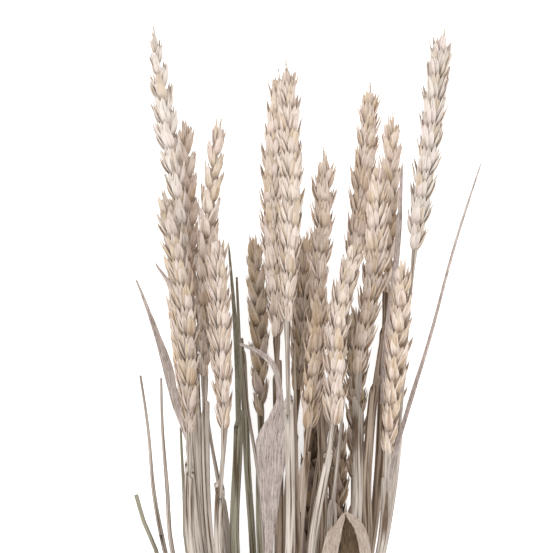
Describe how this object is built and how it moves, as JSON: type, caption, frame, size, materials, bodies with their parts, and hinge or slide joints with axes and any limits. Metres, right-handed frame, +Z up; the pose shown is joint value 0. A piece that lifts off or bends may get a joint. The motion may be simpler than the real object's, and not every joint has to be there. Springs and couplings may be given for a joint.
{
  "type": "bundle of dried wheat",
  "caption": "A cut bunch of dried wheat with husked ears, straw stems and a few long dry leaves, lying flat and tied with twine.",
  "frame": {"origin": "middle of the flat underside of the tie, on the surface that the bunch lies on", "axes": "+Y along the stalks towards the ears, +Z up from the surface, +X across the bunch to the right"},
  "size_m": [0.1753, 0.5971, 0.0737],
  "materials": {
    "husk": "matte",
    "husk_chalky": "matte",
    "husk_shaded": "matte",
    "straw": "matte",
    "leaf": "matte",
    "twine": "matte"
  },
  "bodies": {
    "root": {"stalk_under_left": "husk_shaded", "stalk_under_middle": "husk_shaded", "stalk_low_dark": "husk_shaded", "stalk_under_right": "husk_shaded", "stalk_dark_left": "husk_shaded", "stalk_behind_high": "husk_shaded", "stalk_low_middle": "husk_shaded", "stalk_left_behind": "husk", "stalk_tall_slender": "husk", "stalk_middle_behind": "husk", "stalk_low_right": "husk_shaded", "stalk_right_behind": "husk", "stalk_top_left": "husk_chalky", "stalk_left_middle": "husk", "stalk_middle_low": "husk", "stalk_right_middle": "husk", "stalk_far_right": "husk_chalky", "stalk_left_front": "husk", "stalk_pink_front": "husk", "stalk_tall_front": "husk", "stalk_chalky_front": "husk_chalky", "stalk_right_front": "husk", "strand_left": "straw", "stub_left": "straw", "stem_jointed": "straw", "stem_right": "straw", "stem_middle": "straw", "stem_olive": "leaf", "stem_olive_dark": "leaf", "strand_thin": "straw", "stem_left_pale": "straw", "stem_pale_middle": "straw", "stem_right_low": "straw", "tie": "twine"}
  },
  "joints": []
}
